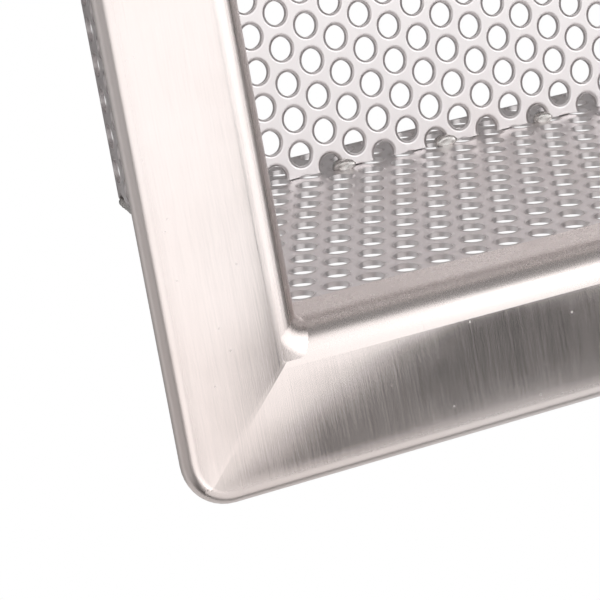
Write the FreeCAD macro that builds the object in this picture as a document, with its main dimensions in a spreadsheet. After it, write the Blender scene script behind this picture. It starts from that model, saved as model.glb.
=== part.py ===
"""Rectangular stainless cheese mould: a tapered box of punched sheet hung in a mitred angle rim.

Frame: millimetres, +Z up, origin at the centre of the footprint on the surface it stands on.
The long sides (front at -Y, rear at +Y) run along X and the short sides (left, right) along Y.
Each side is modelled as the front one and then turned about Z.
"""

import FreeCAD
import Part

import math
import os

import Sketcher

DRIVERS = [
    ("rim_length", 300.0, "outside length of the rim, along X"),
    ("rim_width", 200.0, "outside width of the rim, along Y"),
    ("cavity_depth", 75.0, "top of the floor to the top of the rim"),
    ("skirt_height", 13.0, "top of the floor above the surface the mould stands on"),
    ("draft_angle", 10.0, "lean of every wall from the vertical, in degrees"),
    ("sheet_gauge", 0.8, "thickness of the punched sheet"),
    ("hole_diameter", 4.0, "diameter of a punched hole"),
    ("hole_pitch", 6.0, "spacing of the holes in their staggered rows"),
    ("wall_row_offset", 4.76, "height of a hole row above the floor, up the slope of a wall"),
    ("wall_column_offset", 4.3, "first hole of that row from the foot of the corner"),
    ("floor_column_offset", 4.07, "first column of floor holes from the left wall"),
    ("floor_row_offset", 0.9, "first hole of that column from the front wall"),
    ("hole_edge_land", 0.25, "least metal left between a whole hole and the edge of a sheet"),
    ("rim_gauge", 2.0, "thickness of the rim"),
    ("rim_reach", 21.7, "face of the rim, from the line of its flange to its outer edge"),
    ("flange_drop", 10.8, "depth of the rim's flange inside the wall, below the rim's top"),
    ("bend_radius", 6.0, "outside radius of the bend between the rim's face and its flange"),
    ("edge_radius", 1.9, "rounding of the rim's top outer edge"),
    ("plan_radius", 7.0, "radius of the rim's outer corners, seen from above"),
    ("mitre_gap", 0.6, "width of the welded joint between two rails"),
    ("tack_radius", 1.5, "radius of a tack weld between floor and wall"),
    ("tack_spacing", 20.0, "spacing of those tack welds"),
    ("stitch_length", 14.0, "length of a stitch weld between a wall's top and the rim"),
    ("stitch_spacing", 42.0, "spacing of those stitch welds"),
    ("seam_crown", 0.35, "height of a corner seam's weld over the square it fills"),
]

# name, turn about Z from the front side, the rim size along it, the rim size across it
SIDES = [
    ("front", 0.0, "rim_length", "rim_width"),
    ("right", 90.0, "rim_width", "rim_length"),
    ("rear", 180.0, "rim_length", "rim_width"),
    ("left", 270.0, "rim_width", "rim_length"),
]

# the corner at the left end of each side, seen from outside it
CORNERS = {"front": "front_left", "right": "front_right", "rear": "rear_right", "left": "rear_left"}

STITCH_TOP_ANGLE = 35.0  # where a stitch weld ends on the bend, in degrees from the vertical
OVERRUN = 0.3  # how far a wall's blank passes the planes that trim it
CLEAR = 5.0  # how far a mitre's cut passes the outside of the rim

START, END, MIDDLE = 1, 2, 3  # the points of a sketched line or arc
ROOT = -1  # the sketch's own origin

doc = FreeCAD.newDocument("CheeseMould")
sheet = doc.addObject("Spreadsheet::Sheet", "Params")
for row, (alias, value, meaning) in enumerate(DRIVERS, start=1):
    sheet.set(f"A{row}", meaning)
    sheet.set(f"B{row}", str(value))
    sheet.setAlias(f"B{row}", alias)
doc.recompute()

X_AXIS = FreeCAD.Vector(1, 0, 0)
Y_AXIS = FreeCAD.Vector(0, 1, 0)
Z_AXIS = FreeCAD.Vector(0, 0, 1)
ORIGIN = FreeCAD.Vector(0, 0, 0)

subparts = []


def cell(alias):
    """The number in one cell of the sheet."""
    return float(sheet.get(alias))


def keep(thing, label):
    """Names a finished sub-part and lists it for export."""
    thing.Label = label
    subparts.append(thing)
    return thing


def turned(angle):
    """The placement that carries the front side round to another one."""
    return FreeCAD.Placement(ORIGIN, FreeCAD.Rotation(Z_AXIS, angle))


draft = math.radians(cell("draft_angle"))
rim_top = cell("skirt_height") + cell("cavity_depth")
wall_top = rim_top - cell("bend_radius")
hole_radius = cell("hole_diameter") / 2
row_rise = cell("hole_pitch") * math.sqrt(3) / 2


def floor_half(rim_size):
    """Half the floor along one direction: from the middle to a wall's inner face at floor level."""
    flange_line = cell(rim_size) / 2 - cell("rim_reach")
    wall_at_top = flange_line + cell("rim_gauge") / math.cos(draft)
    return wall_at_top - cell("cavity_depth") * math.tan(draft)


# ---------------------------------------------------------------- punched sheet


def distance_to_edge(point, corners):
    """Distance from a point to the nearest side of a polygon, and whether the point is inside it."""
    nearest = math.inf
    inside = True
    for start, end in zip(corners, corners[1:] + corners[:1]):
        along = end - start
        share = max(0.0, min(1.0, (point - start).dot(along) / along.dot(along)))
        nearest = min(nearest, (point - start - along * share).Length)
        inside = inside and along.cross(point - start).z > 0
    return nearest, inside


def hole_ring(centre, axis):
    """The round edge of one punched hole; about -Z it bounds a hole in a face that looks up."""
    return Part.Wire(Part.makeCircle(hole_radius, centre, axis))


def punched_face(corners, centres):
    """A flat polygon, counter-clockwise in XY, with its whole holes and the cut holes on its edges."""
    whole = []
    cut = []
    for centre in centres:
        gap, inside = distance_to_edge(centre, corners)
        if inside and gap >= hole_radius + cell("hole_edge_land"):
            whole.append(hole_ring(centre, -Z_AXIS))
        elif gap < hole_radius:
            cut.append(Part.Face(hole_ring(centre, Z_AXIS)))
    plain = Part.Face(Part.makePolygon(corners + corners[:1]))
    trimmed = plain.cut(cut) if cut else plain
    outline = max(trimmed.Faces, key=lambda face: face.Area).OuterWire
    return Part.Face([outline] + whole)


def staggered(first, low, high, along_x):
    """Hole centres over a region: rows one pitch apart inside, every other row moved half a pitch."""
    pitch = cell("hole_pitch")
    span_x = (low.x, high.x) if along_x else (low.y, high.y)
    span_y = (low.y, high.y) if along_x else (low.x, high.x)
    start_x, start_y = (first.x, first.y) if along_x else (first.y, first.x)
    row_first = math.floor((span_y[0] - start_y) / row_rise) - 1
    row_last = math.ceil((span_y[1] - start_y) / row_rise) + 1
    centres = []
    for row in range(row_first, row_last + 1):
        shift = start_x + (pitch / 2 if row % 2 else 0.0)
        first_hole = math.floor((span_x[0] - shift) / pitch) - 1
        last_hole = math.ceil((span_x[1] - shift) / pitch) + 1
        for hole in range(first_hole, last_hole + 1):
            place = (shift + hole * pitch, start_y + row * row_rise)
            centres.append(FreeCAD.Vector(*(place if along_x else place[::-1]), 0))
    return centres


def extruded(name, base, alias):
    """An extrusion of a flat object along its own normal, as thick as a cell of the sheet says."""
    solid = doc.addObject("Part::Extrusion", name)
    solid.Base = base
    solid.DirMode = "Normal"
    solid.Solid = True
    solid.setExpression("LengthFwd", f"Params.{alias}")
    base.Visibility = False
    return solid


def make_floor():
    """The punched floor, let in between the walls and cut to their inner faces at its underside."""
    shrink = cell("sheet_gauge") * math.tan(draft)
    half_x = floor_half("rim_length")
    half_y = floor_half("rim_width")
    low = FreeCAD.Vector(shrink - half_x, shrink - half_y, 0)
    high = FreeCAD.Vector(half_x - shrink, half_y - shrink, 0)
    corners = [low, FreeCAD.Vector(high.x, low.y, 0), high, FreeCAD.Vector(low.x, high.y, 0)]
    first = FreeCAD.Vector(cell("floor_column_offset") - half_x, cell("floor_row_offset") - half_y, 0)
    blank = doc.addObject("Part::Feature", "FloorBlank")
    blank.Shape = punched_face(corners, staggered(first, low, high, along_x=False))
    under = cell("skirt_height") - cell("sheet_gauge")
    blank.Placement = FreeCAD.Placement(FreeCAD.Vector(0, 0, under), FreeCAD.Rotation())
    keep(extruded("Floor", blank, "sheet_gauge"), "floor_panel")


def make_wall(side, angle, run, across, trimming):
    """One wall: a leaning trapezium of punched sheet, square at its ends, level at top and foot.

    The blank lies with x along the wall and y up its slope from floor level, on the wall's inner face.
    """
    half_run = floor_half(run)
    slope_low = -cell("skirt_height") / math.cos(draft) - OVERRUN
    slope_high = (wall_top - cell("skirt_height")) / math.cos(draft) + OVERRUN
    low_half = half_run + slope_low * math.sin(draft)
    high_half = half_run + slope_high * math.sin(draft)
    corners = [
        FreeCAD.Vector(-low_half, slope_low, 0),
        FreeCAD.Vector(low_half, slope_low, 0),
        FreeCAD.Vector(high_half, slope_high, 0),
        FreeCAD.Vector(-high_half, slope_high, 0),
    ]
    first = FreeCAD.Vector(cell("wall_column_offset") - half_run, cell("wall_row_offset"), 0)
    low = FreeCAD.Vector(-high_half, slope_low, 0)
    high = FreeCAD.Vector(high_half, slope_high, 0)
    blank = doc.addObject("Part::Feature", f"WallBlank_{side}")
    blank.Shape = punched_face(corners, staggered(first, low, high, along_x=True))
    foot = FreeCAD.Vector(0, -floor_half(across), cell("skirt_height"))
    lean = FreeCAD.Rotation(X_AXIS, 90.0 + cell("draft_angle"))
    blank.Placement = turned(angle) * FreeCAD.Placement(foot, lean)
    leaf = extruded(f"WallLeaf_{side}", blank, "sheet_gauge")
    wall = doc.addObject("Part::Common", f"Wall_{side}")
    wall.Base = leaf
    wall.Tool = trimming
    keep(wall, f"wall_{side}")


def make_trimming():
    """The level slab between the standing surface and the walls' top, which trims every wall."""
    slab = doc.addObject("Part::Box", "TrimmingSlab")
    slab.setExpression("Length", "2 * Params.rim_length")
    slab.setExpression("Width", "2 * Params.rim_width")
    slab.setExpression("Height", "Params.skirt_height + Params.cavity_depth - Params.bend_radius")
    slab.setExpression("Placement.Base.x", "-Params.rim_length")
    slab.setExpression("Placement.Base.y", "-Params.rim_width")
    return slab


# ---------------------------------------------------------------- rim rails


def origin_plane(body, role):
    """One of a body's own origin planes."""
    return next(item for item in body.Origin.OriginFeatures if item.Role == role)


def constrain(sketch, rules):
    """Adds the geometric constraints that tie a sketch's pieces together."""
    for rule in rules:
        sketch.addConstraint(Sketcher.Constraint(*rule))


def drive(sketch, sizes):
    """Adds named dimensions to a sketch, each bound to the sheet by a formula."""
    for terms, name, formula in sizes:
        number = sketch.addConstraint(Sketcher.Constraint(*terms))
        sketch.renameConstraint(number, name)
        sketch.setExpression(f"Constraints.{name}", formula)


def bend_centre(rim_size):
    """Distance from the middle of the mould to the centre of the rim's bend."""
    quarter = math.radians((90 - cell("draft_angle")) / 2)
    return cell(rim_size) / 2 - cell("rim_reach") + cell("bend_radius") * math.tan(quarter)


def add_profile(body, across):
    """The angle section of a rail: a level face, a bend and a leaning flange, drawn in the YZ plane."""
    sketch = body.newObject("Sketcher::SketchObject", "Section")
    sketch.AttachmentSupport = [(origin_plane(body, "YZ_Plane"), "")]
    sketch.MapMode = "FlatFace"
    outer_radius = cell("bend_radius")
    inner_radius = outer_radius - cell("rim_gauge")
    centre = FreeCAD.Vector(-bend_centre(across), rim_top - outer_radius, 0)
    toward_cavity = FreeCAD.Vector(math.cos(draft), math.sin(draft), 0)
    down_flange = FreeCAD.Vector(math.sin(draft), -math.cos(draft), 0)
    bend_out = centre + toward_cavity * outer_radius
    bend_in = centre + toward_cavity * inner_radius
    flange_length = (bend_out.y - (rim_top - cell("flange_drop"))) / math.cos(draft)
    tip_out = bend_out + down_flange * flange_length
    tip_in = bend_in + down_flange * flange_length
    face_in = FreeCAD.Vector(centre.x, rim_top, 0)
    face_out = FreeCAD.Vector(-cell(across) / 2, rim_top, 0)
    under_out = FreeCAD.Vector(face_out.x, rim_top - cell("rim_gauge"), 0)
    under_in = FreeCAD.Vector(centre.x, under_out.y, 0)
    bend_start = draft
    bend_end = math.pi / 2
    shapes = [
        Part.LineSegment(tip_out, bend_out),
        Part.ArcOfCircle(Part.Circle(centre, Z_AXIS, outer_radius), bend_start, bend_end),
        Part.LineSegment(face_in, face_out),
        Part.LineSegment(face_out, under_out),
        Part.LineSegment(under_out, under_in),
        Part.ArcOfCircle(Part.Circle(centre, Z_AXIS, inner_radius), bend_start, bend_end),
        Part.LineSegment(bend_in, tip_in),
        Part.LineSegment(tip_in, tip_out),
    ]
    sketch.addGeometry(shapes, False)
    flange_out, bend_o, face, edge, under, bend_i, flange_in, tip = range(len(shapes))
    rules = [
        ("Tangent", flange_out, END, bend_o, START),
        ("Tangent", bend_o, END, face, START),
        ("Coincident", face, END, edge, START),
        ("Coincident", edge, END, under, START),
        ("Tangent", under, END, bend_i, END),
        ("Tangent", bend_i, START, flange_in, START),
        ("Coincident", flange_in, END, tip, START),
        ("Coincident", tip, END, flange_out, START),
        ("Coincident", bend_o, MIDDLE, bend_i, MIDDLE),
        ("Horizontal", face),
        ("Vertical", edge),
        ("Horizontal", under),
        ("Parallel", flange_out, flange_in),
        ("Perpendicular", tip, flange_out),
    ]
    constrain(sketch, rules)
    sizes = [
        (("Radius", bend_o, outer_radius), "bend", "Params.bend_radius"),
        (("Distance", edge, cell("rim_gauge")), "gauge", "Params.rim_gauge"),
        (
            ("DistanceX", bend_o, MIDDLE, ROOT, START, -centre.x),
            "bend_place",
            f"Params.{across} / 2 - Params.rim_reach"
            " + Params.bend_radius * tan((90 - Params.draft_angle) / 2 * 1deg)",
        ),
        (("DistanceX", edge, START, ROOT, START, -face_out.x), "outside", f"Params.{across} / 2"),
        (
            ("DistanceY", ROOT, START, edge, START, rim_top),
            "top",
            "Params.skirt_height + Params.cavity_depth",
        ),
        (("DistanceY", tip, END, face, START, cell("flange_drop")), "drop", "Params.flange_drop"),
        (("Angle", tip, draft), "lean", "Params.draft_angle * 1deg"),
    ]
    drive(sketch, sizes)
    return sketch


def add_mitre(body, run, across):
    """The piece cut from a rail's left end: beyond the mitre, and outside the rounded corner."""
    sketch = body.newObject("Sketcher::SketchObject", "MitreOutline")
    sketch.AttachmentSupport = [(origin_plane(body, "XY_Plane"), "")]
    sketch.MapMode = "FlatFace"
    half_run = cell(run) / 2
    half_across = cell(across) / 2
    radius = cell("plan_radius")
    half_gap = cell("mitre_gap") / 2
    centre = FreeCAD.Vector(radius - half_run, radius - half_across, 0)
    outward = FreeCAD.Vector(-1, -1, 0) / math.sqrt(2)
    aside = FreeCAD.Vector(1, -1, 0) / math.sqrt(2) * half_gap
    on_arc = centre + aside + outward * math.sqrt(radius**2 - half_gap**2)
    inboard = on_arc - outward * 2 * cell("rim_reach")
    touch = FreeCAD.Vector(centre.x, -half_across, 0)
    below = touch - Y_AXIS * CLEAR
    far_low = FreeCAD.Vector(-half_run - CLEAR, below.y, 0)
    far_high = FreeCAD.Vector(far_low.x, inboard.y, 0)
    arc_start = math.atan2(on_arc.y - centre.y, on_arc.x - centre.x)
    shapes = [
        Part.LineSegment(inboard, on_arc),
        Part.ArcOfCircle(Part.Circle(centre, Z_AXIS, radius), arc_start, -math.pi / 2),
        Part.LineSegment(touch, below),
        Part.LineSegment(below, far_low),
        Part.LineSegment(far_low, far_high),
        Part.LineSegment(far_high, inboard),
    ]
    sketch.addGeometry(shapes, False)
    mitre, corner, drop, base, back, lid = range(len(shapes))
    rules = [
        ("Coincident", mitre, END, corner, START),
        ("Coincident", corner, END, drop, START),
        ("Coincident", drop, END, base, START),
        ("Coincident", base, END, back, START),
        ("Coincident", back, END, lid, START),
        ("Coincident", lid, END, mitre, START),
        ("Vertical", drop),
        ("Horizontal", base),
        ("Vertical", back),
        ("Horizontal", lid),
        ("Vertical", corner, MIDDLE, corner, END),
    ]
    constrain(sketch, rules)
    sizes = [
        (("Radius", corner, radius), "corner_radius", "Params.plan_radius"),
        (
            ("DistanceX", corner, MIDDLE, ROOT, START, -centre.x),
            "corner_x",
            f"Params.{run} / 2 - Params.plan_radius",
        ),
        (
            ("DistanceY", corner, MIDDLE, ROOT, START, -centre.y),
            "corner_y",
            f"Params.{across} / 2 - Params.plan_radius",
        ),
        (("Distance", corner, MIDDLE, mitre, half_gap), "half_gap", "Params.mitre_gap / 2"),
        (("Angle", mitre, math.radians(-135)), "mitre_angle", "-135deg"),
        (("DistanceY", drop, END, drop, START, CLEAR), "clear_y", f"{CLEAR}mm"),
        (
            ("DistanceX", back, START, ROOT, START, -far_low.x),
            "clear_x",
            f"Params.{run} / 2 + {CLEAR}",
        ),
        (("Distance", mitre, 2 * cell("rim_reach")), "depth", "2 * Params.rim_reach"),
    ]
    drive(sketch, sizes)
    return sketch


def outer_top_edges(shape, across):
    """Names of the edges round the outside of a rail's face: its long edge and its corner arcs."""
    names = []
    for number, edge in enumerate(shape.Edges, start=1):
        box = edge.BoundBox
        level = abs(box.ZMin - rim_top) < 1e-3 and abs(box.ZMax - rim_top) < 1e-3
        straight_outside = abs(box.YMin + cell(across) / 2) < 1e-3 and box.YLength < 1e-3
        if level and (straight_outside or isinstance(edge.Curve, Part.Circle)):
            names.append(f"Edge{number}")
    return names


def make_rail(side, angle, run, across):
    """One rail of the rim: folded angle, mitred at both ends, its outer corners and edge rounded."""
    body = doc.addObject("PartDesign::Body", f"Rail_{side}")
    pad = body.newObject("PartDesign::Pad", "Angle")
    pad.Profile = add_profile(body, across)
    pad.Midplane = True
    pad.setExpression("Length", f"Params.{run}")
    doc.recompute()
    pocket = body.newObject("PartDesign::Pocket", "LeftMitre")
    pocket.Profile = add_mitre(body, run, across)
    pocket.Type = "ThroughAll"
    pocket.Midplane = True
    doc.recompute()
    mirrored = body.newObject("PartDesign::Mirrored", "RightMitre")
    mirrored.Originals = [pocket]
    mirrored.MirrorPlane = (origin_plane(body, "YZ_Plane"), [""])
    body.Tip = mirrored
    doc.recompute()
    rounding = body.newObject("PartDesign::Fillet", "OuterEdge")
    rounding.Base = (mirrored, outer_top_edges(mirrored.Shape, across))
    rounding.setExpression("Radius", "Params.edge_radius")
    body.Tip = rounding
    doc.recompute()
    body.Placement = turned(angle)
    keep(body, f"rim_rail_{side}")
    return body


# ---------------------------------------------------------------- welds


def make_mitre_weld(side, angle, rail):
    """The ground weld in one mitre: the rail's cut end, carried across the gap to the next rail."""
    outward = FreeCAD.Rotation(Z_AXIS, angle).multVec(FreeCAD.Vector(-1, 1, 0).normalize())
    end_faces = [face for face in rail.Shape.Faces if face.normalAt(0, 0).dot(outward) > 0.999]
    section = doc.addObject("Part::Feature", f"MitreEnd_{side}")
    section.Shape = max(end_faces, key=lambda face: face.Area).copy()
    weld = doc.addObject("Part::Extrusion", f"MitreWeld_{side}")
    weld.Base = section
    weld.DirMode = "Custom"
    weld.Dir = outward
    weld.Solid = True
    weld.setExpression("LengthFwd", "Params.mitre_gap")
    keep(weld, f"mitre_weld_{CORNERS[side]}")


def make_corner_seam(side, angle, run, across):
    """The weld up one corner of the box, filling the open square between two walls' cut ends."""
    lean = math.tan(draft)
    foot = cell("skirt_height") * lean
    corner = FreeCAD.Vector(foot - floor_half(run), foot - floor_half(across), 0)
    gauge = cell("sheet_gauge")
    near = gauge * math.sin(draft) * lean
    far = gauge * (math.cos(draft) + math.sin(draft) * lean)
    front_end = corner - FreeCAD.Vector(near, far, 0)
    side_end = corner - FreeCAD.Vector(far, near, 0)
    bulge = (far + cell("seam_crown")) / math.sqrt(2) * (1 + near / far)
    crown = corner - FreeCAD.Vector(bulge, bulge, 0)
    edges = [
        Part.LineSegment(corner, front_end).toShape(),
        Part.Arc(front_end, crown, side_end).toShape(),
        Part.LineSegment(side_end, corner).toShape(),
    ]
    section = doc.addObject("Part::Feature", f"SeamSection_{side}")
    section.Shape = Part.Face(Part.Wire(edges))
    section.Placement = turned(angle)
    weld = doc.addObject("Part::Extrusion", f"CornerSeam_{side}")
    weld.Base = section
    weld.DirMode = "Custom"
    weld.Dir = FreeCAD.Rotation(Z_AXIS, angle).multVec(FreeCAD.Vector(-lean, -lean, 1))
    weld.Solid = True
    weld.setExpression(
        "LengthFwd",
        "(Params.skirt_height + Params.cavity_depth - Params.bend_radius)"
        " * sqrt(1 + 2 * tan(Params.draft_angle * 1deg)^2)",
    )
    keep(weld, f"corner_seam_weld_{CORNERS[side]}")


def spread(length, spacing):
    """Places along a side, evenly spaced about its middle."""
    count = int(length // spacing)
    return [(number - (count - 1) / 2) * spacing for number in range(count)]


def make_group(name, label, seed, places, angle):
    """Copies of one weld along a side, as separate solids of one sub-part."""
    copies = [seed.Shape.translated(X_AXIS * place) for place in places]
    group = doc.addObject("Part::Feature", name)
    group.Shape = Part.Compound(copies)
    group.Placement = turned(angle)
    seed.Visibility = False
    keep(group, label)


def make_tacks(side, angle, run, across):
    """Tack welds where the floor meets a wall: balls of weld, bounded by the floor and the wall."""
    ball = doc.addObject("Part::Sphere", f"TackBall_{side}")
    ball.setExpression("Radius", "Params.tack_radius")
    seat = FreeCAD.Vector(0, -floor_half(across), cell("skirt_height"))
    ball.Placement = FreeCAD.Placement(seat, FreeCAD.Rotation())
    reach = 2 * cell("tack_radius")
    lean = reach * math.tan(draft)
    outline = [(0, 0), (2 * reach, 0), (2 * reach, reach), (-lean, reach)]
    points = [seat + FreeCAD.Vector(-reach, y, z) for y, z in outline]
    corner = doc.addObject("Part::Feature", f"TackCorner_{side}")
    corner.Shape = Part.Face(Part.makePolygon(points + points[:1])).extrude(X_AXIS * 2 * reach)
    tack = doc.addObject("Part::Common", f"Tack_{side}")
    tack.Base = ball
    tack.Tool = corner
    doc.recompute()
    places = spread(2 * floor_half(run), cell("tack_spacing"))
    make_group(f"Tacks_{side}", f"floor_tack_welds_{side}", tack, places, angle)


def make_stitches(side, angle, run, across):
    """Stitch welds on a wall's top edge, under the bend of the rim."""
    radius = cell("bend_radius") - cell("rim_gauge")
    centre = FreeCAD.Vector(0, -bend_centre(across), rim_top - cell("bend_radius"))

    def on_bend(degrees):
        turn = math.radians(degrees)
        return centre + FreeCAD.Vector(0, math.sin(turn), math.cos(turn)) * radius

    flange = 90.0 - cell("draft_angle")
    tangent = on_bend(flange)
    wall_inner = FreeCAD.Vector(0, tangent.y + (tangent.z - wall_top) * math.tan(draft), wall_top)
    wall_outer = wall_inner - Y_AXIS * cell("sheet_gauge") / math.cos(draft)
    top = on_bend(STITCH_TOP_ANGLE)
    edges = [
        Part.LineSegment(wall_inner, wall_outer).toShape(),
        Part.LineSegment(wall_outer, top).toShape(),
        Part.Arc(top, on_bend((STITCH_TOP_ANGLE + flange) / 2), tangent).toShape(),
        Part.LineSegment(tangent, wall_inner).toShape(),
    ]
    section = doc.addObject("Part::Feature", f"StitchSection_{side}")
    section.Shape = Part.Face(Part.Wire(edges))
    stitch = doc.addObject("Part::Extrusion", f"Stitch_{side}")
    stitch.Base = section
    stitch.DirMode = "Custom"
    stitch.Dir = X_AXIS
    stitch.Solid = True
    stitch.Symmetric = True
    stitch.setExpression("LengthFwd", "Params.stitch_length")
    doc.recompute()
    places = spread(2 * floor_half(run), cell("stitch_spacing"))
    make_group(f"Stitches_{side}", f"rim_stitch_welds_{side}", stitch, places, angle)


# ---------------------------------------------------------------- the mould


def main():
    make_floor()
    trimming = make_trimming()
    for side, angle, run, across in SIDES:
        make_wall(side, angle, run, across, trimming)
    for side, angle, run, across in SIDES:
        rail = make_rail(side, angle, run, across)
        make_mitre_weld(side, angle, rail)
    for side, angle, run, across in SIDES:
        make_corner_seam(side, angle, run, across)
        make_tacks(side, angle, run, across)
        make_stitches(side, angle, run, across)
    doc.recompute()

    for thing in doc.Objects:
        if "Invalid" in thing.State or "Error" in thing.State:
            raise RuntimeError(f"{thing.Name} did not compute: {thing.State}")
    for thing in subparts:
        shape = thing.Shape
        if shape.isNull() or not shape.isValid() or not shape.Solids:
            raise RuntimeError(f"{thing.Label} has no valid solid")

    os.makedirs("parts", exist_ok=True)
    for thing in subparts:
        thing.Shape.exportStep(f"parts/{thing.Label}.step")
        box = thing.Shape.BoundBox
        print(
            f"{thing.Label}: {len(thing.Shape.Solids)} solids, {thing.Shape.Volume:.1f} mm3,"
            f" x {box.XMin:.2f}..{box.XMax:.2f} y {box.YMin:.2f}..{box.YMax:.2f}"
            f" z {box.ZMin:.2f}..{box.ZMax:.2f}"
        )


main()
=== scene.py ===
"""The looks of a rectangular cheese mould of punched stainless sheet with a mitred angle rim.

Everything is in metres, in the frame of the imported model: +Z up and the origin at the centre of
the footprint.
"""

import math
import random

import bpy
from mathutils import Matrix, Vector


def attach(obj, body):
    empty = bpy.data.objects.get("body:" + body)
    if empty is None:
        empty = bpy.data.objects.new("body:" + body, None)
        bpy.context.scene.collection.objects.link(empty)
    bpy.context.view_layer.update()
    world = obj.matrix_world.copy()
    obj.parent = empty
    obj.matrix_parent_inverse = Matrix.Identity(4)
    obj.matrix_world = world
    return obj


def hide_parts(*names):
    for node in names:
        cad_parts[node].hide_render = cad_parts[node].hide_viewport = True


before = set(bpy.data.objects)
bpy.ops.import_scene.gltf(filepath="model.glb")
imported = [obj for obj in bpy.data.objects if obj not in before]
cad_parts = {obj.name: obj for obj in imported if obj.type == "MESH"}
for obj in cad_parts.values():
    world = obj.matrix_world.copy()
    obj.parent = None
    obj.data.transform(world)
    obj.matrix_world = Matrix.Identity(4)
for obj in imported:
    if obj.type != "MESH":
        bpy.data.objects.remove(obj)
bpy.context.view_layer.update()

bl_info = {
    "name": "Cheese Mould",
    "version": (1, 0, 0),
    "blender": (4, 5, 0),
    "location": "View3D > Sidebar > Cheese Mould",
    "description": "Welds, steel finishes and a plain studio for a punched cheese mould",
    "category": "Object",
}

SIDES = ("front", "right", "rear", "left")
CORNERS = {
    "front_left": (-1, -1),
    "front_right": (1, -1),
    "rear_right": (1, 1),
    "rear_left": (-1, 1),
}
FILLET_LEVELS = 14  # steps of the mitre's fillet round the rim's bend
FILLET_TOP = 0.0065  # its radius where it meets the rim's face
FILLET_FOOT = 0.0014  # and at the foot of the flange
FILLET_START = math.radians(4.0)  # how far round the bend the fillet begins
FILLET_EASE = 0.7  # how soon it narrows on its way down
BURY = 0.0002  # how far a weld reaches into the steel it joins

# noise: features to the metre along X, Y and Z
EVEN = (1, 1, 1)
GRAIN_ALONG_X = (110, 2600, 2600)
GRAIN_ALONG_Y = (2600, 110, 2600)
BRUSHING = (5200, 110, 5200)
SCRATCHES = (1500, 25, 1500)

# heights of the surface's unevenness
GRAIN_HEIGHT = 1.2e-6
SHEET_WAVES = 2.0e-5
RIM_WAVES = 1.3e-4
RIM_RIPPLE = 1.0e-5
BRUSHING_HEIGHT = 1.8e-6
SCRATCH_DEPTH = 1.5e-6
BEAD_LUMPS = 3.0e-5
BEAD_SKIN = 2.0e-6

# shares of the roll-over: the floor's hole edges are drawn down, and the walls, punched from
# outside, have edges that stand up on the inside
FLOOR_EDGES = 1.5
WALL_EDGES = -1.6

# shares of the mitre's hollow and of the face's fall: side rails, end rails and the mitre's weld
SIDE_RAIL = (1.0, 1.8)
END_RAIL = (0.1, 1.0)
MITRE_WELD = (0.0, 1.0)

CROWN_LIMIT = 1.6  # the crown's curve stops here, on the bend and on the outer edge
FALL_BLEND = 0.003  # how gently the face's fall ends at the bend
SPECK_COLOUR = (0.95, 0.93, 0.91, 1.0)

SEAM_RADIUS = 0.00082
SEAM_RIPPLE = 0.0015  # spacing of the ripples along a corner seam
SEAM_END = 0.0006  # what a seam stops short of the wall's edges
STITCH_RADIUS = 0.00125
STITCH_RIPPLE = 0.0018
BEAD_SIDES = 12
BEAD_TIP = 0.6  # a bead's width at its ends, as a share of its full width
BEAD_NECK = 0.84  # and between two ripples

TACK_RADIUS = 0.00145
# where a tack is pulled, how far, and how much of it follows
TACK_PULLS = (
    ((0.0011, 0.0, 0.0009), (0.0010, 0.0, 0.0002), 0.0016),
    ((-0.0010, 0.0, 0.0010), (-0.0005, 0.0, -0.0004), 0.0011),
    ((0.0, 0.0, 0.00145), (0.0, 0.0, -0.0006), 0.0007),
    ((0.0, 0.0014, 0.0), (0.0003, -0.0004, 0.0), 0.0012),
)

# name, place, the way it faces, its spin about that in degrees, size, and how bright it looks
SOFTBOXES = (
    ("overhead", (0.085, 0.333, 1.09), (0.0, 0.0, -1.0), 40.0, (2.2, 1.3), 1.25),
    ("right", (0.8, 0.24, 0.86), (-1.0, 0.0, 0.0), 0.0, (1.18, 0.92), 1.5),
    ("front", (0.2, -1.0, 0.86), (0.0, 1.0, -0.8), 0.0, (1.8, 1.25), 0.85),
    ("rear", (0.1, 1.5, 0.6), (0.0, -1.0, -0.1), 0.0, (2.6, 1.0), 0.22),
    ("left", (-1.3, 0.0, 0.5), (1.0, 0.0, -0.2), 0.0, (2.2, 0.9), 0.45),
)
SWEEP_SIZE = 6.0
SWEEP_DROP = 0.0002  # the floor lies this far under the mould, so that the two don't share a plane


# ---------------------------------------------------------------- sizes and colours


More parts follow.
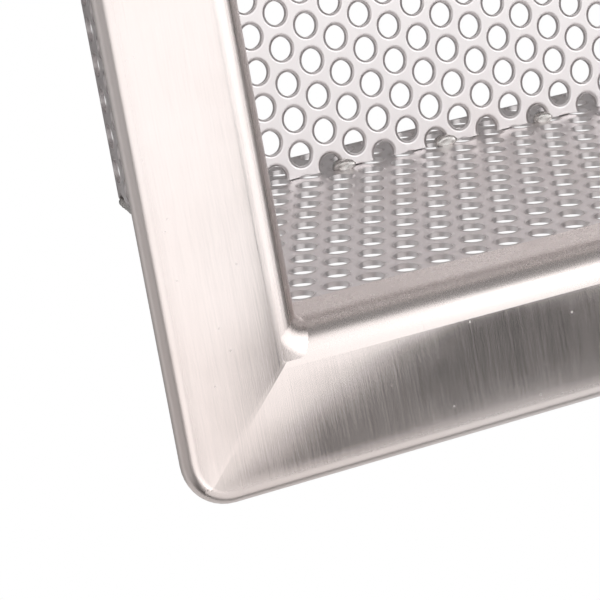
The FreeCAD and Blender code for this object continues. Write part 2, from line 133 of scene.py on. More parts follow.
class MouldSizes(bpy.types.PropertyGroup):
    """Sizes of the mould that its finishes and welds follow."""

    floor_height: bpy.props.FloatProperty(
        name="Floor height",
        description="Top of the punched floor above the standing surface",
        default=0.013,
        subtype="DISTANCE",
    )
    draft: bpy.props.FloatProperty(
        name="Draft",
        description="Lean of the walls from the vertical",
        default=math.radians(10.0),
        subtype="ANGLE",
    )
    gauge: bpy.props.FloatProperty(
        name="Sheet gauge",
        description="Thickness of the punched sheet",
        default=0.0008,
        precision=4,
        subtype="DISTANCE",
    )
    floor_half: bpy.props.FloatVectorProperty(
        name="Floor half sizes",
        description="From the middle to the walls' inner faces, at floor level",
        size=2,
        default=(0.117106, 0.067106),
        precision=6,
        subtype="XYZ_LENGTH",
    )
    pitch: bpy.props.FloatProperty(
        name="Hole pitch",
        description="Spacing of the holes in their staggered rows",
        default=0.006,
        precision=4,
        subtype="DISTANCE",
    )
    hole: bpy.props.FloatProperty(
        name="Hole diameter",
        description="Diameter of a punched hole",
        default=0.004,
        precision=4,
        subtype="DISTANCE",
    )
    floor_start: bpy.props.FloatVectorProperty(
        name="First floor hole",
        description="First column and first hole of the floor from its front left corner",
        size=2,
        default=(0.00407, 0.0009),
        precision=5,
        subtype="XYZ_LENGTH",
    )
    wall_start: bpy.props.FloatVectorProperty(
        name="First wall hole",
        description="First hole of a wall's first row: along the wall and up its slope",
        size=2,
        default=(0.0043, 0.00476),
        precision=5,
        subtype="XYZ_LENGTH",
    )
    rim_half: bpy.props.FloatVectorProperty(
        name="Rim half sizes",
        description="From the middle to the rim's outer edges",
        size=2,
        default=(0.15, 0.1),
        subtype="XYZ_LENGTH",
    )
    rim_face: bpy.props.FloatProperty(
        name="Rim face",
        description="Width of the rim's level face, from its outer edge to the bend",
        default=0.0167,
        precision=4,
        subtype="DISTANCE",
    )
    rim_top: bpy.props.FloatProperty(
        name="Rim top",
        description="Height of the rim's face above the standing surface",
        default=0.088,
        subtype="DISTANCE",
    )
    rim_gauge: bpy.props.FloatProperty(
        name="Rim gauge",
        description="Thickness of the rim",
        default=0.002,
        precision=4,
        subtype="DISTANCE",
    )
    bend_radius: bpy.props.FloatProperty(
        name="Bend radius",
        description="Outside radius of the rim's bend",
        default=0.006,
        precision=4,
        subtype="DISTANCE",
    )
    flange_drop: bpy.props.FloatProperty(
        name="Flange drop",
        description="Depth of the rim's flange below the rim's top",
        default=0.0108,
        precision=4,
        subtype="DISTANCE",
    )
    wall_top: bpy.props.FloatProperty(
        name="Wall top",
        description="Height of the punched walls' top edges",
        default=0.082,
        subtype="DISTANCE",
    )
    tack_spacing: bpy.props.FloatProperty(
        name="Tack spacing",
        description="Spacing of the tack welds round the floor",
        default=0.02,
        subtype="DISTANCE",
    )
    stitch_spacing: bpy.props.FloatProperty(
        name="Stitch spacing",
        description="Spacing of the stitch welds under the rim",
        default=0.042,
        subtype="DISTANCE",
    )
    stitch_length: bpy.props.FloatProperty(
        name="Stitch length",
        description="Length of one stitch weld",
        default=0.014,
        subtype="DISTANCE",
    )


class MouldFinish(bpy.types.PropertyGroup):
    """Colours and surface detail of the steel."""

    sheet_colour: bpy.props.FloatVectorProperty(
        name="Sheet colour",
        description="Colour of the punched sheet",
        size=3,
        default=(0.80, 0.762, 0.762),
        subtype="COLOR",
    )
    rim_colour: bpy.props.FloatVectorProperty(
        name="Rim colour",
        description="Colour of the brushed rim",
        size=3,
        default=(0.82, 0.755, 0.735),
        subtype="COLOR",
    )
    warm_colour: bpy.props.FloatVectorProperty(
        name="Warm tint",
        description="Colour left on the steel by welding and buffing at the corners",
        size=3,
        default=(0.76, 0.675, 0.645),
        subtype="COLOR",
    )
    stroke_colour: bpy.props.FloatVectorProperty(
        name="Stroke colour",
        description="Colour in the deeper strokes of the brushing",
        size=3,
        default=(0.50, 0.455, 0.44),
        subtype="COLOR",
    )
    # Partly painted shade: this dark colour stands in for the dark reflection on the rim's outer
    # lip, as well as for the rougher sheared edge
    cut_edge_and_shade_colour: bpy.props.FloatVectorProperty(
        name="Cut edge colour",
        description="Colour of the rim's sheared outer edge",
        size=3,
        default=(0.46, 0.43, 0.42),
        subtype="COLOR",
    )
    bead_colour: bpy.props.FloatVectorProperty(
        name="Bead colour",
        description="Colour of the weld beads",
        size=3,
        default=(0.62, 0.60, 0.58),
        subtype="COLOR",
    )
    sheet_roughness: bpy.props.FloatProperty(
        name="Sheet roughness",
        description="How matt the punched sheet is",
        default=0.36,
        min=0.0,
        max=1.0,
    )
    rim_roughness: bpy.props.FloatProperty(
        name="Rim roughness",
        description="How matt the brushed rim is",
        default=0.175,
        min=0.0,
        max=1.0,
    )
    rollover: bpy.props.FloatProperty(
        name="Roll-over depth",
        description="How far the punch has drawn the sheet's face at a hole's edge",
        default=0.00022,
        precision=5,
        subtype="DISTANCE",
    )
    rollover_width: bpy.props.FloatProperty(
        name="Roll-over width",
        description="Width of the drawn ring round a hole",
        default=0.0007,
        precision=5,
        subtype="DISTANCE",
    )
    hollow: bpy.props.FloatProperty(
        name="Mitre hollow",
        description="How far the weld has drawn the rim's face down along a mitre",
        default=0.0006,
        precision=5,
        subtype="DISTANCE",
    )
    hollow_width: bpy.props.FloatProperty(
        name="Mitre hollow width",
        description="Reach of that hollow to each side of the mitre",
        default=0.022,
        precision=4,
        subtype="DISTANCE",
    )
    crown: bpy.props.FloatProperty(
        name="Rim crown",
        description="How far the middle of the rim's face stands above its edges",
        default=0.00013,
        precision=5,
        subtype="DISTANCE",
    )
    fall: bpy.props.FloatProperty(
        name="Rim fall",
        description="Slope of the rim's face, down towards its outer edge",
        default=0.028,
        precision=4,
    )


class MouldStudio(bpy.types.PropertyGroup):
    """The plain studio: camera, softboxes, floor and surroundings."""

    camera_place: bpy.props.FloatVectorProperty(
        name="Camera place",
        description="Where the camera stands",
        size=3,
        default=(-0.300703, -0.014115, 0.445301),
        subtype="XYZ_LENGTH",
    )
    camera_turn: bpy.props.FloatVectorProperty(
        name="Camera turn",
        description="How the camera is turned, as XYZ angles",
        size=3,
        default=(-0.0615028, -0.468816, -0.201349),
        precision=6,
        subtype="EULER",
    )
    lens: bpy.props.FloatProperty(
        name="Lens",
        description="Focal length of the camera, in millimetres",
        default=173.2075,
    )
    floor_glow: bpy.props.FloatProperty(
        name="Floor glow",
        description="How bright the pale floor looks, as a sweep lit from below does",
        default=1.0,
    )
    surroundings: bpy.props.FloatProperty(
        name="Surroundings",
        description="Brightness of the room beyond the softboxes",
        default=0.05,
    )


# ---------------------------------------------------------------- node graphs


class Value:
    """A number coming out of a node, which works in sums like a Python number."""

    def __init__(self, finish, socket):
        self.finish = finish
        self.socket = socket

    def __add__(self, other):
        return self.finish.math("ADD", self, other)

    __radd__ = __add__

    def __sub__(self, other):
        return self.finish.math("SUBTRACT", self, other)

    def __rsub__(self, other):
        return self.finish.math("SUBTRACT", other, self)

    def __mul__(self, other):
        return self.finish.math("MULTIPLY", self, other)

    __rmul__ = __mul__

    def __truediv__(self, other):
        return self.finish.math("DIVIDE", self, other)

    def __abs__(self):
        return self.finish.math("ABSOLUTE", self)


class Finish:
    """A material made of nodes, for one kind of steel surface."""

    def __init__(self, name):
        self.material = bpy.data.materials.new(name)
        self.material.use_nodes = True
        self.tree = self.material.node_tree
        self.shader = self.tree.nodes["Principled BSDF"]
        self.shader.inputs["Metallic"].default_value = 1.0
        place = self.node("ShaderNodeTexCoord", output="Object")
        split = {"Vector": place}
        self.x = self.node("ShaderNodeSeparateXYZ", inputs=split, output="X")
        self.y = self.node("ShaderNodeSeparateXYZ", inputs=split, output="Y")
        self.z = self.node("ShaderNodeSeparateXYZ", inputs=split, output="Z")

    def node(self, kind, settings=None, inputs=None, output=0):
        """Adds a node: its settings first, then what its sockets hold, and returns one output."""
        made = self.tree.nodes.new(kind)
        for name, value in (settings or {}).items():
            if name == "stops":
                first, last = made.color_ramp.elements
                first.position, first.color = value[0][0], (*[value[0][1]] * 3, 1)
                last.position, last.color = value[-1][0], (*[value[-1][1]] * 3, 1)
                for position, level in value[1:-1]:
                    made.color_ramp.elements.new(position).color = (*[level] * 3, 1)
            else:
                setattr(made, name, value)
        for name, value in (inputs or {}).items():
            if isinstance(value, Value):
                self.tree.links.new(value.socket, made.inputs[name])
            else:
                made.inputs[name].default_value = value
        return Value(self, made.outputs[output])

    def math(self, operation, *terms):
        """One Math node."""
        return self.node("ShaderNodeMath", {"operation": operation}, dict(enumerate(terms)))

    def ramp(self, value, low, high):
        """0 below low, 1 above high and smooth between."""
        inputs = {"Value": value, "From Min": low, "From Max": high}
        return self.node("ShaderNodeMapRange", {"interpolation_type": "SMOOTHSTEP"}, inputs)

    def least(self, first, second):
        return self.math("MINIMUM", first, second)

    def most(self, first, second):
        return self.math("MAXIMUM", first, second)

    def noise(self, along, scale, detail=2.0, roughness=0.5):
        """Noise from -1 to 1, with features a metre over scale wide, stretched along an axis."""
        axes = {"X": self.x * along[0], "Y": self.y * along[1], "Z": self.z * along[2]}
        place = self.node("ShaderNodeCombineXYZ", inputs=axes)
        inputs = {"Vector": place, "Scale": scale, "Detail": detail, "Roughness": roughness}
        return self.node("ShaderNodeTexNoise", inputs=inputs) * 2.0 - 1.0

    def specks(self, scale, size):
        """1 in small scattered specks, 0 elsewhere."""
        axes = {"X": self.x, "Y": self.y, "Z": self.z}
        place = self.node("ShaderNodeCombineXYZ", inputs=axes)
        inputs = {"Vector": place, "Scale": scale, "Randomness": 1.0}
        near = self.node("ShaderNodeTexVoronoi", inputs=inputs, output="Distance")
        return 1 - self.ramp(near, 0.3 * size, size)

    def mix(self, share, first, second):
        """A colour between two others."""
        inputs = {0: share, 6: first, 7: second}
        return self.node("ShaderNodeMix", {"data_type": "RGBA"}, inputs, output=2)

    def finish(self, colour, roughness, height):
        """Joins colour, roughness and a height in metres to the shader."""
        bump = {"Strength": 1.0, "Distance": 1.0, "Height": height}
        normal = self.node("ShaderNodeBump", inputs=bump)
        for name, value in (("Base Color", colour), ("Roughness", roughness), ("Normal", normal)):
            self.tree.links.new(value.socket, self.shader.inputs[name])
        return self.material


def rgba(colour):
    return (*colour, 1.0)


def hole_gap(paint, along, across, start, sizes):
    """Distance from the middle of the nearest hole of a staggered pattern of rows."""
    rise = sizes.pitch * math.sqrt(3.0)
    from_first = [(along - start[0]) / sizes.pitch, (across - start[1]) / rise]
    gaps = []
    for shift in (0.5, 1.0):
        cells = [paint.math("FRACT", place + shift + 64) - 0.5 for place in from_first]
        side = cells[0] * sizes.pitch
        up = cells[1] * rise
        gaps.append(paint.math("SQRT", side * side + up * up))
    return paint.least(*gaps)


def sheet_finish(name, along, across, start, grain, edges):
    """Satin punched sheet with fine rolled grain, its hole edges drawn down or standing up."""
    sizes = bpy.context.scene.mould_sizes
    look = bpy.context.scene.mould_finish
    paint = Finish(name)
    gap = hole_gap(paint, along(paint), across(paint), start, sizes)
    edge = sizes.hole / 2
    drawn = 1 - paint.ramp(gap, edge - 0.1 * look.rollover_width, edge + look.rollover_width)
    fine = paint.noise(grain, 1.0, 3.0)
    smear = paint.noise(EVEN, 45.0, 4.0)
    rub = paint.noise(EVEN, 900.0, 3.0)
    rolled = drawn * drawn * (-look.rollover * edges)
    height = rolled + fine * GRAIN_HEIGHT + smear * SHEET_WAVES
    roughness = look.sheet_roughness + 0.05 * smear + 0.03 * rub + 0.06 * drawn
    warm = paint.ramp(smear, -0.1, 0.9) * 0.35
    colour = paint.mix(warm, rgba(look.sheet_colour), rgba(look.warm_colour))
    return paint.finish(colour, roughness, height)


def rim_finish(name, across_x, shares):
    """Brushed rim: crowned and falling faces, drawn mitres, scratches, specks and a cut edge
    darkened partly with painted shade.
    """
    sizes = bpy.context.scene.mould_sizes
    look = bpy.context.scene.mould_finish
    paint = Finish(name)
    inward_x = sizes.rim_half[0] - abs(paint.x)
    inward_y = sizes.rim_half[1] - abs(paint.y)
    inward = inward_x if across_x else inward_y
    middle = sizes.rim_face / 2
    share = (inward - middle) / middle
    crown = (1 - paint.least(share * share, CROWN_LIMIT)) * look.crown
    drawn, lean = shares
    face = paint.math("SMOOTH_MIN", inward, sizes.rim_face, FALL_BLEND)
    fall = face * (look.fall * lean)
    aside = abs(inward_x - inward_y) * (1 / math.sqrt(2))
    near = 1 - paint.least(aside / look.hollow_width, 1.0)
    hollow = near * near * (-look.hollow * drawn)
    waves = paint.noise(EVEN, 30.0, 2.0) * RIM_WAVES
    ripple = paint.noise(EVEN, 110.0, 0.0) * RIM_RIPPLE
    brushed = paint.noise(BRUSHING, 1.0, 3.0, 0.6)
    scratched = paint.ramp(paint.noise(SCRATCHES, 1.0, 1.0), 0.42, 0.62)
    smear = paint.noise(EVEN, 55.0, 5.0, 0.6)
    specks = paint.specks(380.0, 0.1) * paint.ramp(paint.noise(EVEN, 60.0), -0.1, 0.4)
    height = crown + fall + hollow + waves + ripple
    height = height + brushed * BRUSHING_HEIGHT - scratched * SCRATCH_DEPTH

    from_edge = paint.least(inward_x, inward_y)
    rolled = 1 - paint.ramp(from_edge, 0.001, 0.004)
    bent = paint.ramp(inward, sizes.rim_face - 0.001, sizes.rim_face + 0.002)
    worked = 0.05 * brushed + 0.05 * smear + 0.08 * scratched + 0.3 * specks
    roughness = look.rim_roughness + worked + 0.16 * rolled + 0.1 * bent

    # The rim's colour is mixed warmer and darker towards each outer corner of the rim
    corner = 1 - paint.ramp(inward_x + inward_y, 0.012, 0.06)
    warm = paint.least(0.25 + corner * 0.7 + smear * 0.35, 1.0)
    base = paint.mix(paint.most(warm, 0.0), rgba(look.rim_colour), rgba(look.warm_colour))
    strokes = paint.ramp(brushed + 0.3 * smear, -0.1, 0.8) * 0.08
    drawn_steel = paint.mix(strokes, base, rgba(look.stroke_colour))
    steel = paint.mix(specks * 0.2, drawn_steel, SPECK_COLOUR)
    underside = sizes.rim_top - 0.95 * sizes.rim_gauge
    mid_edge = sizes.rim_top - 0.5 * sizes.rim_gauge
    outside = 1 - paint.ramp(from_edge, 0.0001, 0.0009)
    # Painted shade on the outer cut edge: its colour is darkened to stand in for the lip's dark
    # reflection, and its added roughness is the real sheared edge
    cut_edge_and_shade = (1 - paint.ramp(paint.z, underside, mid_edge)) * outside
    colour = paint.mix(cut_edge_and_shade * 0.8, steel, rgba(look.cut_edge_and_shade_colour))
    return paint.finish(colour, roughness + 0.25 * cut_edge_and_shade, height)


def bead_finish(name):
    """Weld metal: bright, uneven, with a faint straw and brown heat tint in its hollows."""
    look = bpy.context.scene.mould_finish
    paint = Finish(name)
    lumps = paint.noise(EVEN, 900.0, 3.0)
    skin = paint.noise(EVEN, 4000.0, 2.0)
    heat = paint.ramp(lumps, -0.1, 0.8) * 0.7
    colour = paint.mix(heat, rgba(look.bead_colour), rgba(look.warm_colour))
    return paint.finish(colour, 0.27 + 0.08 * lumps, lumps * BEAD_LUMPS + skin * BEAD_SKIN)


# ---------------------------------------------------------------- modelling


def deselect():
    bpy.ops.object.select_all(action="DESELECT")


def made(name):
    """The object that an operator has just added, named and alone in the selection."""
    piece = bpy.context.active_object
    piece.name = name
    piece.data.name = name
    return piece


def settle(piece):
    """Moves a piece's place and turn into its mesh, leaving its object at the origin."""
    deselect()
    piece.select_set(True)
    bpy.context.view_layer.objects.active = piece
    bpy.ops.object.transform_apply(location=True, rotation=True, scale=True)


def joined(name, pieces):
    """Several meshes as one piece."""
    deselect()
    for piece in pieces:
        piece.select_set(True)
    bpy.context.view_layer.objects.active = pieces[0]
    bpy.ops.object.join()
    settle(bpy.context.active_object)
    return made(name)


def keep(piece, finish, replaced):
    """Finishes a piece and puts it in the place of a CAD node."""
    piece.data.materials.clear()
    piece.data.materials.append(finish)
    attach(piece, "root")
    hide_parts(replaced)


def lay_bead(name, start, end, radius, ripple, draw):
    """A rippled run of weld: a disc drawn out along a line, swelling and necking as it goes."""
    line = end - start
    steps = 2 * max(2, round(line.length / ripple))
    turn = line.to_track_quat("Z", "Y").to_euler()
    deselect()
    bpy.ops.mesh.primitive_circle_add(
        vertices=BEAD_SIDES,
        radius=radius * BEAD_TIP,
        fill_type="NGON",
        location=start,
        rotation=turn,
    )
    bead = made(name)
    settle(bead)
    bpy.ops.object.mode_set(mode="EDIT")
    bpy.ops.mesh.select_all(action="SELECT")
    wide = BEAD_TIP
    for step in range(1, steps + 1):
        target = (1.0 if step % 2 else BEAD_NECK) * draw.uniform(0.94, 1.06)
        if step == steps:
            target = BEAD_TIP
        bpy.ops.mesh.extrude_region_move(TRANSFORM_OT_translate={"value": line / steps})
        here = start + line * step / steps
        bpy.ops.transform.resize(value=(target / wide,) * 3, center_override=here)
        wide = target
    bpy.ops.mesh.select_all(action="SELECT")
    bpy.ops.mesh.normals_make_consistent(inside=False)
    bpy.ops.mesh.faces_shade_smooth()
    bpy.ops.object.mode_set(mode="OBJECT")
    return bead


def copy_of(piece, place):
    """A copy with its own mesh, moved and turned in the mesh itself."""
    twin = piece.copy()
    twin.data = piece.data.copy()
    twin.data.transform(place)
    bpy.context.scene.collection.objects.link(twin)
    return twin


def spread(length, spacing):
    """Places along a side, evenly spaced about its middle."""
    count = int(length // spacing)
    return [(number - (count - 1) / 2) * spacing for number in range(count)]


def side_frames(sizes):
    """Each side's name, its turn about Z, and the floor's half sizes along it and across it."""
    along, across = sizes.floor_half
    for number, side in enumerate(SIDES):
        halves = (along, across) if number % 2 == 0 else (across, along)
        yield side, Matrix.Rotation(math.radians(90.0 * number), 4, "Z"), halves


# ---------------------------------------------------------------- operators


class MOULD_OT_punched_panels(bpy.types.Operator):
    """Gives the punched floor and walls their satin finish"""

    bl_idname = "mould.punched_panels"
    bl_label = "Punched panels"
    bl_options = {"REGISTER", "UNDO"}

    def execute(self, context):
        sizes = context.scene.mould_sizes
        half = sizes.floor_half
        floor_start = (sizes.floor_start[1] - half[1], sizes.floor_start[0] - half[0])
        finish = sheet_finish(
            "punched_floor_steel",
            lambda paint: paint.y,
            lambda paint: paint.x,
            floor_start,
            GRAIN_ALONG_Y,
            FLOOR_EDGES,
        )
        self.dress("floor_panel", finish)
        slope = 1 / math.cos(sizes.draft)
        ways = {
            "front": (lambda paint: paint.x, half[0], GRAIN_ALONG_X),
            "right": (lambda paint: paint.y, half[1], GRAIN_ALONG_Y),
            "rear": (lambda paint: paint.x * -1.0, half[0], GRAIN_ALONG_X),
            "left": (lambda paint: paint.y * -1.0, half[1], GRAIN_ALONG_Y),
        }
        for side, (along, run, grain) in ways.items():
            start = (sizes.wall_start[0] - run, sizes.wall_start[1])
            finish = sheet_finish(
                f"punched_{side}_steel",
                along,
                lambda paint: (paint.z - sizes.floor_height) * slope,
                start,
                grain,
                WALL_EDGES,
            )
            self.dress(f"wall_{side}", finish)
        return {"FINISHED"}

    def dress(self, node, finish):
        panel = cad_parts[node]
        panel.data.materials.clear()
        panel.data.materials.append(finish)


class MOULD_OT_rim(bpy.types.Operator):
    """Gives the rim's rails and their ground mitres the brushed finish"""

    bl_idname = "mould.rim"
    bl_label = "Rim"
    bl_options = {"REGISTER", "UNDO"}

    def execute(self, context):
        finishes = (
            rim_finish("rim_side_steel", False, SIDE_RAIL),
            rim_finish("rim_end_steel", True, END_RAIL),
        )
        ground = rim_finish("ground_weld_steel", True, MITRE_WELD)
        for number, side in enumerate(SIDES):
            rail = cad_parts[f"rim_rail_{side}"]
            rail.data.materials.clear()
            rail.data.materials.append(finishes[number % 2])
        for corner, signs in CORNERS.items():
            fillet = self.fillet(self.fillet_levels(context.scene.mould_sizes, signs), signs)
            weld = joined(f"mitre_fill_{corner}", [fillet, self.slice_weld(corner)])
            keep(weld, ground, f"mitre_weld_{corner}")
        return {"FINISHED"}

    def slice_weld(self, corner):
        """The thin slice of weld between two rails: its CAD node's mesh, with the faces joined."""
        weld = copy_of(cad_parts[f"mitre_weld_{corner}"], Matrix())
        for key in list(weld.keys()):
            del weld[key]
        weld.parent = None
        deselect()
        weld.select_set(True)
        bpy.context.view_layer.objects.active = weld
        bpy.ops.object.mode_set(mode="EDIT")
        bpy.ops.mesh.select_all(action="SELECT")
        bpy.ops.mesh.remove_doubles(threshold=1e-6)
        bpy.ops.object.mode_set(mode="OBJECT")
        return weld

    def fillet_levels(self, sizes, corner):
        """Places down the inside corner of the rim, from the foot up, with the fillet's radius."""
        way = Vector((-corner[0], -corner[1], 0.0))
        outer = Vector(
            (corner[0] * sizes.rim_half[0], corner[1] * sizes.rim_half[1], sizes.rim_top)
        )
        levels = []
        flange = math.pi / 2 - sizes.draft
        for step in range(FILLET_LEVELS + 1):
            angle = FILLET_START + (flange - FILLET_START) * step / FILLET_LEVELS
            inset = sizes.rim_face + sizes.bend_radius * math.sin(angle)
            drop = sizes.bend_radius * (1 - math.cos(angle))
            share = (angle / flange) ** FILLET_EASE
            levels.append((inset, drop, FILLET_TOP + (FILLET_FOOT - FILLET_TOP) * share))
        inset, drop, _ = levels[-1]
        run = (sizes.flange_drop - drop) * math.tan(sizes.draft)
        levels.append((inset + run, sizes.flange_drop, FILLET_FOOT))
        return [
            (
                outer + way * (inset - BURY) - Vector((0.0, 0.0, drop + BURY / 4)),
                radius + BURY,
            )
            for inset, drop, radius in reversed(levels)
        ]

    def fillet(self, points, corner):
        """Weld dressed into an inside corner: a hollow curve that widens towards the face."""
        way = Vector((-corner[0], -corner[1], 0.0))
        place, radius = points[0]
        deselect()
        bpy.ops.mesh.primitive_circle_add(vertices=48, radius=radius, location=place + way * radius)
        fillet = made("fillet")
        settle(fillet)
        bpy.ops.object.mode_set(mode="EDIT")
        bpy.ops.mesh.select_all(action="DESELECT")
        bpy.ops.object.mode_set(mode="OBJECT")
        centre = place + way * radius
        for vertex in fillet.data.vertices:
            aside = vertex.co - centre
            vertex.select = max(aside.x * way.x, aside.y * way.y) > 1e-6
        bpy.ops.object.mode_set(mode="EDIT")
        bpy.ops.mesh.delete(type="VERT")
        bpy.ops.mesh.select_all(action="SELECT")
        bpy.ops.mesh.extrude_region_move(TRANSFORM_OT_translate={"value": (0.0, 0.0, 0.0)})
        bpy.ops.transform.resize(value=(0.0, 0.0, 0.0), center_override=place)
        bpy.ops.mesh.select_all(action="SELECT")
        bpy.ops.mesh.remove_doubles(threshold=1e-7)
        for (here, size), (there, larger) in zip(points, points[1:]):
            bpy.ops.mesh.extrude_region_move(TRANSFORM_OT_translate={"value": there - here})
            growth = larger / size
            bpy.ops.transform.resize(value=(growth, growth, 1.0), center_override=there)
        bpy.ops.mesh.select_all(action="SELECT")
        bpy.ops.mesh.normals_make_consistent(inside=False)
        bpy.ops.mesh.faces_shade_smooth()
        bpy.ops.object.mode_set(mode="OBJECT")
        deselect()
        fillet.select_set(True)
        bpy.context.view_layer.objects.active = fillet
        bpy.ops.object.shade_smooth_by_angle(angle=math.radians(40.0))
        return fillet


class MOULD_OT_corner_seams(bpy.types.Operator):
    """Lays the rippled weld up each corner of the box"""

    bl_idname = "mould.corner_seams"
    bl_label = "Corner seams"
    bl_options = {"REGISTER", "UNDO"}

    def execute(self, context):
        sizes = context.scene.mould_sizes
        finish = bead_finish("seam_weld_metal")
        draw = random.Random(11)
        lean = math.tan(sizes.draft)
        for corner, (side_x, side_y) in CORNERS.items():
            ends = []
            for height in (SEAM_END, sizes.wall_top - SEAM_END):
                out = (height - sizes.floor_height) * lean + 0.5 * sizes.gauge
                out_x = side_x * (sizes.floor_half[0] + out)
                out_y = side_y * (sizes.floor_half[1] + out)
                ends.append(Vector((out_x, out_y, height)))
            bead = lay_bead(f"corner_bead_{corner}", *ends, SEAM_RADIUS, SEAM_RIPPLE, draw)
            keep(bead, finish, f"corner_seam_weld_{corner}")
        return {"FINISHED"}


class MOULD_OT_tack_welds(bpy.types.Operator):
    """Sets the small uneven tack welds between the floor and the walls"""

    bl_idname = "mould.tack_welds"
    bl_label = "Tack welds"
    bl_options = {"REGISTER", "UNDO"}

    def execute(self, context):
        sizes = context.scene.mould_sizes
        finish = bead_finish("tack_weld_metal")
        draw = random.Random(5)
        seed = self.blob()
        for side, turn, (run, across) in side_frames(sizes):
            tacks = []
            for place in spread(2 * run, sizes.tack_spacing):
                seat = Vector((place, -across + 0.0004, sizes.floor_height + 0.0003))
                size = Matrix.Diagonal((draw.uniform(0.85, 1.2), 1.0, draw.uniform(0.85, 1.1), 1.0))
                tilt = Matrix.Rotation(draw.uniform(-0.6, 0.6), 4, "Y")
                mirror = Matrix.Rotation(math.pi * draw.randrange(2), 4, "Z")
                tacks.append(copy_of(seed, turn @ Matrix.Translation(seat) @ tilt @ mirror @ size))
            piece = joined(f"floor_tacks_{side}", tacks)
            keep(piece, finish, f"floor_tack_welds_{side}")
        bpy.data.objects.remove(seed)
        return {"FINISHED"}

    def blob(self):
        """One tack: a lump of weld pulled out to one side, with a crater where the arc stopped."""
        deselect()
        bpy.ops.mesh.primitive_uv_sphere_add(segments=14, ring_count=9, radius=TACK_RADIUS)
        blob = made("tack_blob")
        settle(blob)
        bpy.ops.object.mode_set(mode="EDIT")
        for place, move, reach in TACK_PULLS:
            self.pull(blob, Vector(place), move, reach)
        bpy.ops.mesh.select_all(action="SELECT")
        bpy.ops.mesh.faces_shade_smooth()
        bpy.ops.object.mode_set(mode="OBJECT")
        return blob

    def pull(self, blob, place, move, reach):
        """Pulls the point nearest a place, and softly what lies round it."""
        bpy.ops.mesh.select_all(action="DESELECT")
        bpy.ops.object.mode_set(mode="OBJECT")
        nearest = min(blob.data.vertices, key=lambda vertex: (vertex.co - place).length)
        nearest.select = True
        bpy.ops.object.mode_set(mode="EDIT")
        bpy.ops.transform.translate(
            value=move,
            use_proportional_edit=True,
            proportional_edit_falloff="SMOOTH",
            proportional_size=reach,
        )


class MOULD_OT_stitch_welds(bpy.types.Operator):
    """Lays the short stitch welds that hold the walls under the rim's bend"""

    bl_idname = "mould.stitch_welds"
    bl_label = "Stitch welds"
    bl_options = {"REGISTER", "UNDO"}

    def execute(self, context):
        sizes = context.scene.mould_sizes
        finish = bead_finish("stitch_weld_metal")
        draw = random.Random(23)
        rise = sizes.wall_top - sizes.floor_height
        for side, turn, (run, across) in side_frames(sizes):
            out = across + rise * math.tan(sizes.draft) + 0.0006
            middle = Vector((0.0, -out, sizes.wall_top + 0.0011))
            reach = Vector((sizes.stitch_length / 2, 0.0, 0.0))
            ends = (middle - reach, middle + reach)
            bead = lay_bead("stitch_bead", *ends, STITCH_RADIUS, STITCH_RIPPLE, draw)
            places = spread(2 * run, sizes.stitch_spacing)
            moves = [Matrix.Translation((place, 0.0, 0.0)) for place in places]
            runs = [copy_of(bead, turn @ move) for move in moves]
            bpy.data.objects.remove(bead)
            piece = joined(f"rim_stitches_{side}", runs)
            keep(piece, finish, f"rim_stitch_welds_{side}")
        return {"FINISHED"}


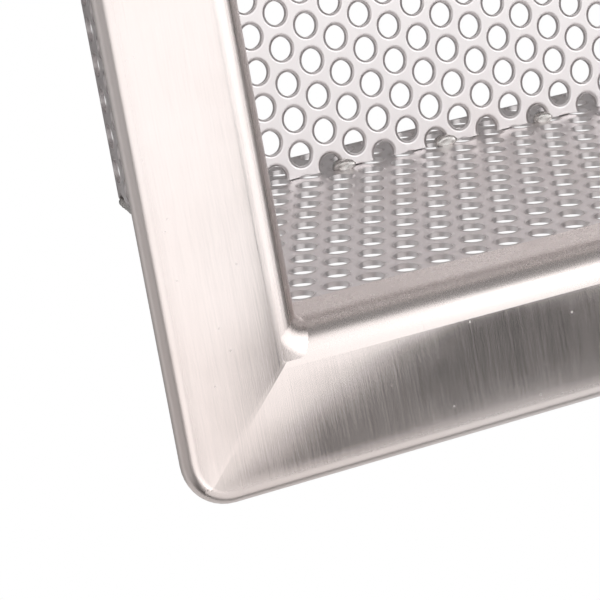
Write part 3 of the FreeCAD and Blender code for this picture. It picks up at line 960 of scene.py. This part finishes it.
class MOULD_OT_studio(bpy.types.Operator):
    """Sets up the pale floor, the softboxes, the surroundings and the camera"""

    bl_idname = "mould.studio"
    bl_label = "Studio"
    bl_options = {"REGISTER", "UNDO"}

    def execute(self, context):
        studio = context.scene.mould_studio
        deselect()
        bpy.ops.mesh.primitive_plane_add(size=SWEEP_SIZE, location=(0.0, 0.0, -SWEEP_DROP))
        sweep = made("studio_floor")
        paper = bpy.data.materials.new("pale_paper")
        paper.use_nodes = True
        nodes, links = paper.node_tree.nodes, paper.node_tree.links
        shader = nodes["Principled BSDF"]
        shader.inputs["Base Color"].default_value = (0.8, 0.8, 0.8, 1.0)
        shader.inputs["Roughness"].default_value = 0.9
        glow = nodes.new("ShaderNodeEmission")
        glow.inputs["Strength"].default_value = studio.floor_glow
        path = nodes.new("ShaderNodeLightPath")
        blend = nodes.new("ShaderNodeMixShader")
        links.new(path.outputs["Is Camera Ray"], blend.inputs["Fac"])
        links.new(shader.outputs["BSDF"], blend.inputs[1])
        links.new(glow.outputs["Emission"], blend.inputs[2])
        links.new(blend.outputs["Shader"], nodes["Material Output"].inputs["Surface"])
        sweep.data.materials.append(paper)

        for side, *settings in SOFTBOXES:
            self.softbox(f"{side}_softbox", *settings)

        world = bpy.data.worlds.new("studio_room")
        context.scene.world = world
        world.use_nodes = True
        background = world.node_tree.nodes["Background"]
        background.inputs["Color"].default_value = (1.0, 0.99, 0.98, 1.0)
        background.inputs["Strength"].default_value = studio.surroundings

        deselect()
        bpy.ops.object.camera_add(location=studio.camera_place, rotation=studio.camera_turn)
        camera = made("studio_camera")
        camera.data.sensor_width = 36.0
        camera.data.lens = studio.lens
        camera.data.clip_start = 0.01
        context.scene.camera = camera
        context.scene.view_settings.view_transform = "Standard"
        return {"FINISHED"}

    def softbox(self, name, place, aim, spin, size, radiance):
        """A rectangular lamp that faces along a direction and is spun about it."""
        facing = Vector(aim).to_track_quat("-Z", "Y").to_matrix()
        turn = (facing @ Matrix.Rotation(math.radians(spin), 3, "Z")).to_euler()
        deselect()
        bpy.ops.object.light_add(type="AREA", location=place, rotation=turn)
        lamp = made(name)
        lamp.data.shape = "RECTANGLE"
        lamp.data.size, lamp.data.size_y = size
        lamp.data.energy = radiance * size[0] * size[1] * math.pi


STEPS = (
    MOULD_OT_punched_panels,
    MOULD_OT_rim,
    MOULD_OT_corner_seams,
    MOULD_OT_tack_welds,
    MOULD_OT_stitch_welds,
    MOULD_OT_studio,
)


GROUPS = (
    ("mould_sizes", MouldSizes),
    ("mould_finish", MouldFinish),
    ("mould_studio", MouldStudio),
)


class MOULD_PT_panel(bpy.types.Panel):
    """The mould's steps and settings"""

    bl_idname = "MOULD_PT_panel"
    bl_label = "Cheese Mould"
    bl_space_type = "VIEW_3D"
    bl_region_type = "UI"
    bl_category = "Cheese Mould"

    def draw(self, context):
        for step in STEPS:
            self.layout.operator(step.bl_idname)
        for attribute, _ in GROUPS:
            group = getattr(context.scene, attribute)
            box = self.layout.box()
            for name in group.bl_rna.properties.keys():
                if name not in ("rna_type", "name"):
                    box.prop(group, name)


def register():
    for name, group in GROUPS:
        bpy.utils.register_class(group)
        setattr(bpy.types.Scene, name, bpy.props.PointerProperty(type=group))
    for step in STEPS:
        bpy.utils.register_class(step)
    bpy.utils.register_class(MOULD_PT_panel)


def unregister():
    bpy.utils.unregister_class(MOULD_PT_panel)
    for step in reversed(STEPS):
        bpy.utils.unregister_class(step)
    for name, group in reversed(GROUPS):
        delattr(bpy.types.Scene, name)
        bpy.utils.unregister_class(group)


def main():
    register()
    bpy.ops.mould.punched_panels()
    bpy.ops.mould.rim()
    bpy.ops.mould.corner_seams()
    bpy.ops.mould.tack_welds()
    bpy.ops.mould.stitch_welds()
    bpy.ops.mould.studio()


if __name__ == "__main__":
    main()
